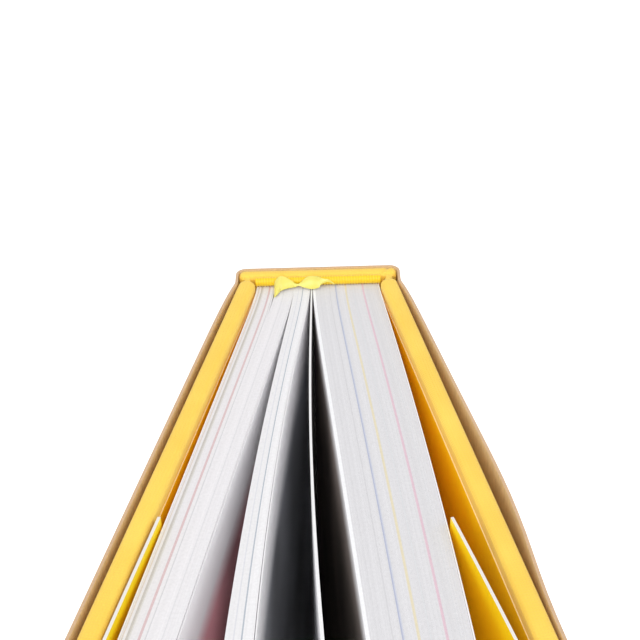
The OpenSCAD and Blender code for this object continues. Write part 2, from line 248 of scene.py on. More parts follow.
class BookColours(bpy.types.PropertyGroup):
    """Colours of the book's materials."""

    cloth: colour("Cloth", "#FAD557", "Cloth over the boards and the spine")
    cloth_deep: colour("Cloth shade", "#F2C645", "Cloth where the dye is deeper")
    band: colour("Band", "#F1CF04", "Silk of the head band and the tail band")
    # Painted shade: the silk between the ribs is painted deeper than on their crowns.
    band_groove_shade: colour("Band shade", "#ECBC01", "Silk between the ribs")
    stitch: colour("Stitches", "#A06E26", "Thread that sews the bands to the leaves")
    ribbon: colour("Ribbon", "#E9DE66", "Satin of the ribbon marker")
    endpaper: colour("Endpaper", "#FFCC08", "Amber face of the endpapers")
    endpaper_edge: colour("Endpaper edge", "#F7DCA4", "Cut edge of the glued endpapers")
    paper: colour("Paper", "#F1F0F2", "Bare paper of the free endpapers")
    page: colour("Page", "#FAF9FB", "Coated face of a page")
    kraft: colour("Kraft", "#D8B488", "Tan outer faces of the jacket's card")
    # Painted light: paler than the outer kraft, to lift the shade in the gap between the card and the cover.
    kraft_inside_painted_light: colour("Kraft lining", "#E8CDA0", "Paler inner faces of the jacket's card")
    kraft_edge: colour("Kraft edge", "#CFAE8C", "Cut edge of the jacket's panels")
    core: colour("Card core", "#E6E2DC", "Cut edge of the jacket's flaps")
    flap: colour("Flap", "#FFE01C", "Printed face of the jacket's flaps")
    board: colour("Greyboard", "#8F8A82", "Boards inside the cloth")
    gauze: colour("Gauze", "#E6E0D0", "Lining on the back of the leaves")
    floor: colour("Floor", "#F4F4F4", "Table and backdrop")


def sizes():
    return bpy.context.scene.book_sizes


def colours():
    return bpy.context.scene.book_colours


def add_node(tree, kind, links, **settings):
    """Add a shader node. An input is linked where a socket is given and set where a value is given."""
    node = tree.nodes.new("ShaderNode" + kind)
    for key, value in settings.items():
        setattr(node, key, value)
    for key, value in links.items():
        if isinstance(value, bpy.types.NodeSocket):
            tree.links.new(value, node.inputs[key])
        else:
            node.inputs[key].default_value = value
    return node


def new_material(name):
    """An empty material, and the function that adds nodes to it."""
    material = bpy.data.materials.new(name)
    material.use_nodes = True
    material.node_tree.nodes.clear()
    return material, partial(add_node, material.node_tree)


def set_surface(add, **inputs):
    """Give a material its surface shader."""
    shader = add("BsdfPrincipled", {key.replace("_", " "): value for key, value in inputs.items()})
    add("OutputMaterial", {"Surface": shader.outputs[0]})


@cache
def bookcloth():
    """Starch-filled cotton bookcloth, woven: matt, with even threads and a dye that is a little uneven."""
    material, add = new_material("bookcloth_yellow")
    uv = add("UVMap", {}, uv_map="cloth").outputs[0]
    # The threads are drawn coarser than real ones, so that they show.
    wave = {"Vector": uv, "Scale": WAVE_LENGTH / sizes().thread, "Distortion": 1.4, "Detail": 1.0,
            "Detail Scale": 0.4}
    warp = add("TexWave", wave, bands_direction="X").outputs["Fac"]
    weft = add("TexWave", wave, bands_direction="Y").outputs["Fac"]
    weave = add("Math", {0: warp, 1: weft}, operation="ADD").outputs[0]
    # Slubs about 3 mm long and clouds of dye about 12 mm across.
    place = add("TexCoord", {}).outputs["Object"]
    slub = add("TexNoise", {"Vector": place, "Scale": 1 / (3 * MM), "Detail": 3.0}).outputs["Fac"]
    cloud = add("TexNoise", {"Vector": place, "Scale": 1 / (12 * MM), "Detail": 2.0}).outputs["Fac"]
    dye = add("Math", {0: weave, 1: 0.07, 2: cloud}, operation="MULTIPLY_ADD").outputs[0]
    share = add("MapRange", {"Value": dye, "From Min": 0.2, "From Max": 0.85}).outputs[0]
    dyed = add("Mix", {0: share, 6: colours().cloth_deep, 7: colours().cloth}, data_type="RGBA").outputs[2]
    height = add("Math", {0: slub, 1: 0.8, 2: weave}, operation="MULTIPLY_ADD").outputs[0]
    bump = add("Bump", {"Height": height, "Strength": 0.35, "Distance": 0.08 * MM}).outputs[0]
    set_surface(add, Base_Color=dyed, Normal=bump, Roughness=0.7, Sheen_Weight=0.2, Sheen_Roughness=0.5)
    return material


@cache
def leaf_paper():
    """Coated photo paper: white and smooth, with cut edges that differ a little, and fields of print and of
    painted shade.
    """
    material, add = new_material("coated_photo_paper")
    place = add("TexCoord", {}).outputs["Object"]
    tint = add("Attribute", {}, attribute_name="tint").outputs["Color"]
    # Fibres that the knife leaves on the cut edges, about 0.5 mm long.
    fibre = add("TexNoise", {"Vector": place, "Scale": 1 / (0.5 * MM), "Detail": 2.0}).outputs["Fac"]
    fleck = add("MapRange", {"Value": fibre, "From Min": 0.3, "From Max": 0.7, "To Min": 0.95,
                             "To Max": 1.02}).outputs[0]
    edge = add("Mix", {0: 1.0, 6: tint, 7: fleck}, data_type="RGBA", blend_type="MULTIPLY").outputs[2]
    # The distance of a point on a page from the page's nearest edge. It is below zero on the cut edges.
    page = add("UVMap", {}, uv_map="page").outputs[0]
    parts = add("SeparateXYZ", {0: page}).outputs
    far_u = add("Math", {0: PAGE_W * MM, 1: parts[0]}, operation="SUBTRACT").outputs[0]
    far_v = add("Math", {0: PAGE_H, 1: parts[1]}, operation="SUBTRACT").outputs[0]
    near_u = add("Math", {0: parts[0], 1: far_u}, operation="MINIMUM").outputs[0]
    near_v = add("Math", {0: parts[1], 1: far_v}, operation="MINIMUM").outputs[0]
    inside = add("Math", {0: near_u, 1: near_v}, operation="MINIMUM").outputs[0]
    on_page = add("Math", {0: inside, 1: -0.5 * MM}, operation="GREATER_THAN").outputs[0]
    bare = add("Mix", {0: on_page, 6: edge, 7: colours().page}, data_type="RGBA").outputs[2]
    # Each field keeps its margin from the page's edges, with a soft rim of 3 mm on both sides. Some fields
    # are print, and some are painted shade in the gaps.
    field = add("Attribute", {}, attribute_name="print").outputs
    beyond = add("Math", {0: inside, 1: field["Alpha"]}, operation="SUBTRACT").outputs[0]
    # The share of the field, print on some pages and painted shade on others.
    printed = add("MapRange", {"Value": beyond, "From Min": -3 * MM, "From Max": 3 * MM}).outputs[0]
    # Soft tones about 30 mm across in the fields of print and of painted shade.
    tone = add("TexNoise", {"Vector": place, "Scale": 1 / (30 * MM), "Detail": 1.0}).outputs["Fac"]
    depth = add("MapRange", {"Value": tone, "From Min": 0.3, "From Max": 0.7, "To Min": 0.6,
                             "To Max": 1.3}).outputs[0]
    ink_and_shade = add("Mix", {0: 1.0, 6: field["Color"], 7: depth}, data_type="RGBA",
              blend_type="MULTIPLY").outputs[2]
    face = add("Mix", {0: printed, 6: bare, 7: ink_and_shade}, data_type="RGBA").outputs[2]
    set_surface(add, Base_Color=face, Roughness=0.48, Specular_IOR_Level=0.4)
    return material


@cache
def fibre_stock(name):
    """Paper, card, board, thread or gauze: short fibres that show as fine flecks and a soft tooth."""
    tone, roughness, contrast, fibre_mm = FIBRE_STOCKS[name]
    material, add = new_material(name)
    place = add("TexCoord", {}).outputs["Object"]
    long_way = add("Mapping", {0: place, 3: (1.0, 1.0, 0.35)}).outputs[0]
    fibre = add("TexNoise", {"Vector": long_way, "Scale": 1 / (fibre_mm * MM), "Detail": 4.0,
                             "Roughness": 0.65}).outputs["Fac"]
    # Clouds about 60 mm across, where the pulp lies denser.
    cloud = add("TexNoise", {"Vector": place, "Scale": 1 / (60 * MM), "Detail": 2.0}).outputs["Fac"]
    both = add("Math", {0: cloud, 1: 0.25, 2: fibre}, operation="MULTIPLY_ADD").outputs[0]
    shade = add("MapRange", {"Value": both, "From Min": 0.4, "From Max": 0.85, "To Min": 1 - contrast,
                             "To Max": 1 + contrast}).outputs[0]
    dyed = add("Mix", {0: 1.0, 6: getattr(colours(), tone), 7: shade}, data_type="RGBA",
               blend_type="MULTIPLY").outputs[2]
    bump = add("Bump", {"Height": fibre, "Strength": 0.25, "Distance": 0.05 * MM}).outputs[0]
    set_surface(add, Base_Color=dyed, Normal=bump, Roughness=roughness, Specular_IOR_Level=0.35)
    return material


@cache
def band_silk():
    """Silk wound over a cord: a painted highlight on each rib's crown, painted shade between the ribs, a soft
    gloss.
    """
    material, add = new_material("band_silk_lemon")
    # The crown of each rib paints the silk lighter there, as a painted highlight, and deeper between the
    # ribs, as painted shade.
    rib = add("Attribute", {}, attribute_name="rib").outputs["Fac"]
    place = add("TexCoord", {}).outputs["Object"]
    # Filaments about 0.1 mm apart, drawn along the windings.
    along = add("Mapping", {0: place, 3: (1.0, 0.1, 0.1)}).outputs[0]
    hair = add("TexNoise", {"Vector": along, "Scale": 1 / (0.1 * MM), "Detail": 2.0}).outputs["Fac"]
    share = add("Math", {0: hair, 1: 0.3, 2: rib}, operation="MULTIPLY_ADD").outputs[0]
    silk = add("Mix", {0: share, 6: colours().band_groove_shade, 7: colours().band}, data_type="RGBA").outputs[2]
    bump = add("Bump", {"Height": hair, "Strength": 0.3, "Distance": 0.03 * MM}).outputs[0]
    set_surface(add, Base_Color=silk, Normal=bump, Roughness=0.42, Sheen_Weight=0.3)
    return material


@cache
def ribbon_satin():
    """Woven satin ribbon: smooth, with a soft gloss along its length and fine threads."""
    material, add = new_material("ribbon_satin_lemon")
    uv = add("UVMap", {}, uv_map="ribbon").outputs[0]
    # Warp threads are drawn 0.3 mm apart, coarser than real ones, so that they show.
    thread = add("TexWave", {"Vector": uv, "Scale": WAVE_LENGTH / (0.3 * MM), "Distortion": 1.0,
                             "Detail": 1.0}, bands_direction="Y").outputs["Fac"]
    shade = add("MapRange", {"Value": thread, "To Min": 0.9, "To Max": 1.06}).outputs[0]
    satin = add("Mix", {0: 1.0, 6: colours().ribbon, 7: shade}, data_type="RGBA",
                blend_type="MULTIPLY").outputs[2]
    bump = add("Bump", {"Height": thread, "Strength": 0.15, "Distance": 0.03 * MM}).outputs[0]
    set_surface(add, Base_Color=satin, Normal=bump, Roughness=0.33, Sheen_Weight=0.3, Specular_IOR_Level=0.7)
    return material


def finish_piece(name, bm, materials, smooth_deg=40):
    """Put a bmesh into a new object with its materials."""
    mesh = bpy.data.meshes.new(name)
    bm.to_mesh(mesh)
    bm.free()
    mesh.shade_smooth()
    mesh.set_sharp_from_angle(angle=math.radians(smooth_deg))
    for entry in materials:
        mesh.materials.append(entry)
    piece = bpy.data.objects.new(name, mesh)
    bpy.context.scene.collection.objects.link(piece)
    return piece


def only(kind, geom):
    return [element for element in geom if isinstance(element, kind)]


def add_box(bm, low, high):
    """A box between two corners."""
    corners = bmesh.ops.create_cube(bm, size=1)["verts"]
    bmesh.ops.scale(bm, vec=high - low, verts=corners)
    bmesh.ops.translate(bm, vec=(low + high) / 2, verts=corners)


def round_edges(bm, edges, radius, segments):
    bmesh.ops.bevel(bm, geom=edges, offset=radius, affect="EDGES", segments=segments, profile=0.5,
                    material=-1)


def rounded_slab(low, high, radius, end_radius=0.0):
    """A slab with rounded edges, its broad faces cut into a grid. Its first end can be rounder."""
    # Only the edges that run along the slab are longer than this.
    longest_corner = 10 * MM
    bm = bmesh.new()
    add_box(bm, low, high)
    if end_radius:
        first_end = [edge for edge in bm.edges if max(vert.co.x for vert in edge.verts) < low.x + radius
                     and edge.calc_length() > longest_corner]
        round_edges(bm, first_end, end_radius, 8)
    sharp = [edge for edge in bm.edges if edge.calc_face_angle(0) > math.radians(45)]
    round_edges(bm, sharp, radius, 6)
    long_edges = [edge for edge in bm.edges if edge.calc_length() > longest_corner]
    bmesh.ops.subdivide_edges(bm, edges=long_edges, cuts=30, use_grid_fill=True)
    return bm


def askew(bm):
    """Turn what belongs to the spine a little, as the spine stands."""
    for vert in bm.verts:
        vert.co.y += SKEW * vert.co.x


def smooth_path(points, steps):
    """A smooth path through points of any length, as a spline that passes through each of them."""
    points = [np.array(point, float) for point in points]
    path = []
    for place in range(len(points) - 1):
        a, b, c, d = (points[max(0, min(len(points) - 1, place + shift))] for shift in (-1, 0, 1, 2))
        for step in range(steps):
            t = step / steps
            path.append(0.5 * (2 * b + (c - a) * t + (2 * a - 5 * b + 4 * c - d) * t ** 2
                               + (3 * b - a - 3 * c + d) * t ** 3))
    return path + [points[-1]]


def chain(bm, points, up):
    """A row of edges through points at one height."""
    verts = [bm.verts.new((point[0], point[1], up)) for point in points]
    return [bm.edges.new(pair) for pair in zip(verts, verts[1:])]


def raise_between(bm, left, right, low, high, cuts=0):
    """A closed wall between two rows of points, from low to high."""
    floor = bmesh.ops.bridge_loops(bm, edges=chain(bm, left, low) + chain(bm, right, low))["faces"]
    raised = bmesh.ops.extrude_face_region(bm, geom=floor, use_keep_orig=True)["geom"]
    bmesh.ops.translate(bm, vec=(0, 0, high - low), verts=only(bmesh.types.BMVert, raised))
    if cuts:
        rising = [edge for edge in bm.edges
                  if abs(edge.verts[0].co.z - edge.verts[1].co.z) > (high - low) / 2]
        bmesh.ops.subdivide_edges(bm, edges=rising, cuts=cuts, use_grid_fill=True)
    bmesh.ops.recalc_face_normals(bm, faces=bm.faces)


def beside(path, shift):
    """The path moved sideways."""
    moved = []
    for place, point in enumerate(path):
        before, after = path[max(0, place - 1)], path[min(len(path) - 1, place + 1)]
        way = (Vector(after[:2]) - Vector(before[:2])).normalized()
        moved.append(Vector(point[:2]) + Vector((-way.y, way.x)) * shift)
    return moved


def fan_x(curve, depth):
    """A leaf's place in mm at a depth in mm from the glued back."""
    place, lean, bend, curl = curve
    run = depth - bend * (1 - math.exp(-depth / bend))
    return place + math.tan(math.radians(lean)) * run + curl * (depth / PAGE_W) ** 2


def fan_between(stack, share):
    """The curve of a leaf at a share of its stack."""
    first, second = FANS[stack]
    return [a + (b - a) * share for a, b in zip(first, second)]


def parting(stack, share, depth):
    """How far in metres the ribbon pushes a leaf of the front stack aside. It fades away from the ribbon."""
    if stack != "front":
        return 0.0
    push, ribbon_depth, fade = 0.12 * MM, 3.6, 5
    away = share - RIBBON_SHARE
    near = math.exp(-4 * abs(away)) * math.exp(-((depth - ribbon_depth) / fade) ** 2)
    return math.copysign(push, away) * near


def leaf_path(curve, width, aside):
    """Points along a leaf from the glued back, where they lie closer, to its fore edge, in metres.

    The points are moved aside by a function of the depth in mm.
    """
    steps = 26
    end = width * math.cos(math.atan((fan_x(curve, width) - curve[0]) / width))
    depths = [end * (step / steps) ** 1.5 for step in range(steps + 1)]
    return [(fan_x(curve, depth) * MM + aside(depth), BLOCK_BACK - depth * MM) for depth in depths]


class BOOK_OT_stage(bpy.types.Operator):
    """Set up the pale table, the soft light and the camera"""

    bl_idname = "book.stage"
    bl_label = "Stage"

    # The camera's focal length and sensor in mm, its place in mm, and its tilt and roll in degrees.
    LENS, SENSOR = 67.5, 36
    CAMERA = (0.3, -223.7, 363)
    TILT, ROLL = 54, -0.95
    # Soft square lamps: place and width in metres, and power in watts. They all aim at the book.
    LAMPS = {
        "top_light": ((-0.2, 0.25, 1.4), 1.0, 1.8),
        "front_light": ((0, -1.05, 0.95), 0.9, 8.4),
        "left_light": ((-1.2, -0.3, 0.75), 1.0, 4.5),
        "right_light": ((1.2, -0.3, 0.75), 1.0, 4.5),
    }
    AIM = Vector((0, -0.07, 0.15))
    # The light of the surroundings, and how far the table is lifted towards white where it is seen.
    AMBIENT, LIFT = 0.56, 0.45

    def execute(self, context):
        scene = context.scene
        scene.view_settings.view_transform = "Standard"
        self.floor(scene)
        self.lights(scene)
        data = bpy.data.cameras.new("camera")
        data.lens = self.LENS
        data.sensor_width = self.SENSOR
        camera = bpy.data.objects.new("camera", data)
        camera.location = Vector(self.CAMERA) * MM
        turn = (Matrix.Rotation(math.radians(self.TILT), 3, "X")
                @ Matrix.Rotation(math.radians(self.ROLL), 3, "Z"))
        camera.rotation_euler = turn.to_euler()
        scene.collection.objects.link(camera)
        scene.camera = camera
        return {"FINISHED"}

    def seen(self, add):
        """A socket that is 1 for the rays of the camera, of gloss and of glass, and 0 for all other light."""
        rays = add("LightPath", {}).outputs
        seen = rays["Is Camera Ray"]
        for other in ("Is Glossy Ray", "Is Transmission Ray"):
            seen = add("Math", {0: seen, 1: rays[other]}, operation="MAXIMUM").outputs[0]
        return seen

    def floor(self, scene):
        """A matt white table. It is lifted to white where it is seen, and keeps the object's shadow."""
        bm = bmesh.new()
        bmesh.ops.create_grid(bm, x_segments=8, y_segments=8, size=6)
        mesh = bpy.data.meshes.new("floor")
        bm.to_mesh(mesh)
        bm.free()
        paint, add = new_material("matt_white_table")
        lift = add("Math", {0: self.seen(add), 1: self.LIFT}, operation="MULTIPLY").outputs[0]
        matt = add("BsdfDiffuse", {"Color": colours().floor}).outputs[0]
        glow = add("Emission", {"Strength": lift}).outputs[0]
        both = add("AddShader", {0: matt, 1: glow}).outputs[0]
        add("OutputMaterial", {"Surface": both})
        mesh.materials.append(paint)
        floor = bpy.data.objects.new("floor", mesh)
        scene.collection.objects.link(floor)

    def lights(self, scene):
        """White surroundings and four soft lamps."""
        world = bpy.data.worlds.new("studio")
        scene.world = world
        world.use_nodes = True
        world.node_tree.nodes.clear()
        add = partial(add_node, world.node_tree)
        level = add("MapRange", {"Value": self.seen(add), "To Min": self.AMBIENT, "To Max": 1.0})
        sky = add("Background", {"Color": (1, 1, 1, 1), "Strength": level.outputs[0]}).outputs[0]
        add("OutputWorld", {"Surface": sky})
        for name, (place, width, power) in self.LAMPS.items():
            data = bpy.data.lights.new(name, "AREA")
            data.shape = "SQUARE"
            data.size = width
            data.energy = power
            lamp = bpy.data.objects.new(name, data)
            lamp.location = place
            lamp.rotation_euler = (self.AIM - Vector(place)).to_track_quat("-Z", "Y").to_euler()
            scene.collection.objects.link(lamp)


class BOOK_OT_case_cloth(bpy.types.Operator):
    """Wrap the boards and the spine in cloth, and lay curved cloth in the joints between them"""

    bl_idname = "book.case_cloth"
    bl_label = "Case cloth"

    # The tuck at the spine's edge by the back cover, in mm: its line in plan, in from the edge and back from
    # the middle of the spine's thickness.
    TUCK = ((1.5, 1.5), (3.3, -0.8))
    # Its depth and width, how far it reaches in from the head and the tail, and the pitch of the cuts for it.
    TUCK_DEPTH, TUCK_WIDTH, TUCK_REACH, CUT_PITCH = 0.3 * MM, 0.35 * MM, 4 * MM, 0.4 * MM
    # How far the cloth of a cover reaches past the cover's end into the joint.
    JOINT_REACH = 1.7 * MM
    # The cloth in a joint, on its outer and its inner side, in mm: points in from the spine's edge and back
    # from the spine's inner face, and then points along the cover and out from its outer or its inner face.
    OUTSIDE = (((0.5, 1.3), (0.7, 0.5), (1.1, -0.2)), ((-0.9, -1.2), (0.2, -0.7)))
    INSIDE = (((2.4, 1.3), (2.5, 0.5), (2.6, -0.2)), ((-0.9, 0.9), (0.2, 0.8)))
    # How far the joint's cloth stays below the head and above the tail, and the radius of its rims.
    JOINT_END, JOINT_RIM = 0.5 * MM, 0.4 * MM

    def execute(self, context):
        low = Vector((SPINE_LOW.x, SPINE_FRONT, 0))
        bm = rounded_slab(low, SPINE_HIGH, sizes().cloth_round)
        self.lay_threads(bm)
        self.tuck(bm)
        askew(bm)
        self.settle(bm)
        spine = finish_piece("spine_wrap", bm, [bookcloth()], 60)
        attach(spine, "root")
        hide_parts("spine_cloth")
        for cover in COVERS:
            low = Vector((-self.JOINT_REACH, -sizes().padding, 0))
            high = Vector((cover.length, cover.thick, CASE_H))
            bm = rounded_slab(low, high, sizes().cloth_round, sizes().joint_round)
            self.lay_threads(bm)
            self.settle(bm)
            cover.lay(bm)
            wrap = finish_piece(cover.side + "_wrap", bm, [bookcloth()], 60)
            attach(wrap, cover.body)
            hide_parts(cover.side + "_cloth")
            self.joint(cover)
        return {"FINISHED"}

    def lay_threads(self, bm):
        """Run the cloth's threads round the edges, in metres along and up the cover."""
        layer = bm.loops.layers.uv.new("cloth")
        for face in bm.faces:
            way = [abs(share) for share in face.normal]
            for loop in face.loops:
                x, y, z = loop.vert.co
                if way[1] >= max(way[0], way[2]):
                    loop[layer].uv = (x, z)
                elif way[2] >= way[0]:
                    loop[layer].uv = (x, y)
                else:
                    loop[layer].uv = (y, z)

    def tuck(self, bm):
        """Cut the spine's cloth finely at both edges, and press a fold into it at the head and the tail."""
        for sign in (-1, 1):
            for step in range(2, 12):
                bmesh.ops.bisect_plane(bm, geom=bm.verts[:] + bm.edges[:] + bm.faces[:], plane_no=(1, 0, 0),
                                       plane_co=(sign * (SPINE_EDGE - step * self.CUT_PITCH), 0, 0))
        bm.normal_update()
        start, end = (Vector((SPINE_EDGE - inward * MM, back * MM)) for inward, back in self.TUCK)
        way = end - start
        for vert in bm.verts:
            if self.TUCK_REACH < vert.co.z < CASE_H - self.TUCK_REACH:
                continue
            share = min(1, max(0, (vert.co.xy - start).dot(way) / way.length_squared))
            away = (vert.co.xy - start - way * share).length
            vert.co -= vert.normal * self.TUCK_DEPTH * math.exp(-(away / self.TUCK_WIDTH) ** 2)

    def settle(self, bm):
        """Let the cloth lie a little unevenly, in soft swells about 15 mm across."""
        bm.normal_update()
        for vert in bm.verts:
            vert.co += vert.normal * sizes().slack * noise.noise(vert.co / (15 * MM))

    def joint(self, cover):
        """The cloth in the groove between the spine and a cover."""
        sign = cover.sign
        sides = []
        for (by_spine, by_cover), face in ((self.OUTSIDE, cover.thick), (self.INSIDE, 0)):
            route = [(sign * (SPINE_EDGE - inward * MM), SPINE_FRONT + back * MM)
                     for inward, back in by_spine]
            route += [cover.point(along * MM, face + out * MM) for along, out in by_cover]
            sides.append(smooth_path(route, 4))
        bm = bmesh.new()
        raise_between(bm, *sides, self.JOINT_END, CASE_H - self.JOINT_END)
        rims = [rim for rim in bm.edges if rim.is_manifold and rim.calc_face_angle(0) > math.radians(60)
                and abs(rim.verts[0].co.z - rim.verts[1].co.z) < MM]
        round_edges(bm, rims, self.JOINT_RIM, 4)
        self.lay_threads(bm)
        piece = finish_piece(cover.side + "_joint_cloth", bm, [bookcloth()], 60)
        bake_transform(piece)


class BOOK_OT_endpapers(bpy.types.Operator):
    """Glue the amber endpapers into the covers, with their folds and their free halves"""

    bl_idname = "book.endpapers"
    bl_label = "Endpapers"

    # The radius of the glued half's edges.
    EDGE = 0.04 * MM
    # The start of a fold, in mm: points out from the flyleaf and forward from the back of the leaves.
    FOLD = ((0.0, 0.1), (0.05, 0.7), (0.2, 1.4))
    # Half the fold's thickness as a share of the flyleaf's.
    FOLD_HALF = 0.45

    def execute(self, context):
        for cover in COVERS:
            self.pastedown(cover)
            self.flyleaf(cover)
            self.fold(cover)
        return {"FINISHED"}

    def pastedown(self, cover):
        """The half of an endpaper that is glued to the cover."""
        margin = sizes().paste_margin
        low = Vector((sizes().paste_hinge, -sizes().padding - sizes().paste_t, margin))
        bm = bmesh.new()
        add_box(bm, low, Vector((cover.length - margin, 0, CASE_H - margin)))
        round_edges(bm, bm.edges[:], self.EDGE, 2)
        for face in bm.faces:
            face.material_index = 0 if face.normal.y < -0.9 else 1
        cover.lay(bm)
        papers = [fibre_stock("endpaper_amber"), fibre_stock("endpaper_cut_edge")]
        piece = finish_piece(cover.side + "_pasted_endpaper", bm, papers)
        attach(piece, cover.body)
        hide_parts(cover.side + "_pastedown")

    def flyleaf(self, cover):
        """The free half of an endpaper, which lies on the leaves."""
        gap, spread = sizes().fly_gap, sizes().fly_spread
        near, far = (leaf_path(cover.next_leaf, PAGE_W,
                               lambda depth: cover.sign * (start + spread * depth / PAGE_W))
                     for start in (gap, gap + sizes().fly_t))
        bm = bmesh.new()
        raise_between(bm, near, far, TAIL, HEAD)
        for face in bm.faces:
            face.material_index = 0 if face.normal.x * cover.sign > 0.5 else 1
        papers = [fibre_stock("endpaper_amber"), fibre_stock("bare_paper")]
        piece = finish_piece(cover.side + "_free_endpaper", bm, papers)
        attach(piece, "root")
        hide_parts(cover.side + "_flyleaf")

    def fold(self, cover):
        """The endpaper's fold across the joint."""
        margin, padding = sizes().paste_margin, sizes().padding
        back = abs(cover.next_leaf[0]) * MM + sizes().fly_gap + sizes().fly_t / 2
        route = [(cover.sign * (back + out * MM), BLOCK_BACK - forward * MM) for out, forward in self.FOLD]
        # It lies down on the cover and ends in the edge of the glued half.
        route += [cover.point(0.4 * MM, -padding - 0.05 * MM),
                  cover.point(sizes().paste_hinge + 0.1 * MM, -padding - sizes().paste_t / 2)]
        path = smooth_path(route, 4)
        half = sizes().fly_t * self.FOLD_HALF
        bm = bmesh.new()
        raise_between(bm, beside(path, half), beside(path, -half), margin, CASE_H - margin)
        piece = finish_piece(cover.side + "_endpaper_fold", bm, [fibre_stock("endpaper_amber")])
        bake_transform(piece)


class BOOK_OT_leaves(bpy.types.Operator):
    """Fan the leaves in their stacks, each leaf a sheet of its own"""

    bl_idname = "book.leaves"
    bl_label = "Leaves"

    # The colour of the leaves' cut edges in each stack.
    TONES = {"front": "#E6E4E7", "middle": "#EAE9EB", "loose": "#EEEEEE", "back": "#DBDADD"}
    # Where along each stack a run of leaves shows its print at the edge, how many leaves, and its colour.
    LINES = {
        "front": ((0.03, 1, "#D9CFC8"), (0.1, 2, "#C4C0BC"), (0.15, 1, "#D6D4D2"), (0.3, 2, "#D8BEC1"),
                  (0.42, 1, "#D6D5D8"), (0.72, 1, "#DAD9DC")),
        "middle": ((0.5, 1, "#B7C2BC"), (0.55, 1, "#B2B9C3"), (0.25, 1, "#DADADF")),
        "loose": (),
        "back": ((0.0, 3, "#F4F4F6"), (0.25, 1, "#D2D1D4"), (0.345, 1, "#B4B9D0"), (0.36, 1, "#CDD0DC"),
                 (0.49, 2, "#E0D6BA"), (0.6, 1, "#D6D7DA"), (0.745, 2, "#DFC2CE"), (0.88, 1, "#D8D8DB")),
    }
    # How far the last leaf of a stack stands off the next one, in mm for each mm from the glued back.
    APART = {"front": 0.001, "middle": 0.0012}
    # Fields on the pages that face a gap: stack, leaf from the first or the last, face, colour, and margin in
    # page margins. The front and back fields are print; the grey middle and loose fields are painted shade in
    # the deep gaps.
    FIELDS = (("front", -1, 1, "#E2A8B0", 1.15), ("middle", -1, 1, "#B4B6BC", 1.1),
              ("loose", 0, 0, "#C0C0C4", 1.0), ("loose", -1, 1, "#B4B0AE", 1.0),
              ("back", 0, 0, "#9C928C", 0.35))
    # The share of its pitch that a leaf fills.
    FILL = 0.98

    def execute(self, context):
        dice = random.Random(7)
        bm = bmesh.new()
        tint = bm.verts.layers.float_color.new("tint")
        # The colour and margin of each field, which holds print or painted shade.
        ink_and_shade = bm.verts.layers.float_color.new("print")
        for stack in FANS:
            self.stack(bm, stack, dice, tint, ink_and_shade)
        bmesh.ops.recalc_face_normals(bm, faces=bm.faces)
        page = bm.loops.layers.uv.new("page")
        for face in bm.faces:
            on_page = abs(face.normal.x) > 0.5
            for loop in face.loops:
                place = loop.vert.co
                loop[page].uv = (BLOCK_BACK - place.y, place.z - TAIL) if on_page else (-1, -1)
        piece = finish_piece("leaves", bm, [leaf_paper()], 30)
        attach(piece, "root")
        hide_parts("text_block")
        return {"FINISHED"}

    def stack(self, bm, stack, dice, tint, ink_and_shade):
        """All leaves of a stack, each cut a little differently, with its own tone, print and painted shade.
        """
        first, second = FANS[stack]
        count = round((second[0] - first[0]) * MM / sizes().leaf_pitch)
        lines = {round(share * count) + extra: linear(hue)
                 for share, run, hue in self.LINES[stack] for extra in range(run)}
        for leaf in range(count):
            drop, trim, tone = dice.uniform(0, 0.04), dice.uniform(-0.25, 0), dice.uniform(0.965, 1.02)
            # Paper from the same batch lies together, in runs of about six leaves that differ by stack.
            tone += 0.06 * noise.noise((leaf / 6, len(stack), 0))
            apart = self.APART.get(stack, 0) if leaf == count - 1 else 0
            left, right = self.leaf(bm, stack, leaf / count, (leaf + self.FILL) / count, HEAD - drop * MM,
                                    PAGE_W + trim, apart)
            base = lines.get(leaf, linear(self.TONES[stack]))
            for vert in left + right:
                vert[tint] = [min(1.0, part * tone) for part in base[:3]] + [1.0]
                vert[ink_and_shade] = (0, 0, 0, 1)
            for name, place, side, hue, margin in self.FIELDS:
                if name == stack and leaf == place % count:
                    for vert in (left, right)[side]:
                        vert[ink_and_shade] = linear(hue)[:3] + [margin * sizes().page_margin]

    def leaf(self, bm, stack, first, last, high, width, apart):
        """A leaf between two shares of its stack, closed on all sides. Returns its left and right corners."""
        curve, far_curve = fan_between(stack, first), fan_between(stack, last)
        path = leaf_path(curve, width, lambda depth: parting(stack, first, depth) + apart * depth * MM)
        row = chain(bm, path, TAIL)
        raised = bmesh.ops.extrude_edge_only(bm, edges=row)["geom"]
        top = only(bmesh.types.BMVert, raised)
        bmesh.ops.translate(bm, vec=(0, 0, high - TAIL), verts=top)
        left = list({vert for edge in row for vert in edge.verts}) + top
        page = only(bmesh.types.BMFace, raised)
        thickened = bmesh.ops.extrude_face_region(bm, geom=page, use_keep_orig=True)["geom"]
        right = only(bmesh.types.BMVert, thickened)
        for vert in right:
            depth = (BLOCK_BACK - vert.co.y) / MM
            vert.co.x = (fan_x(far_curve, depth) + apart * depth) * MM + parting(stack, last, depth)
        return left, right


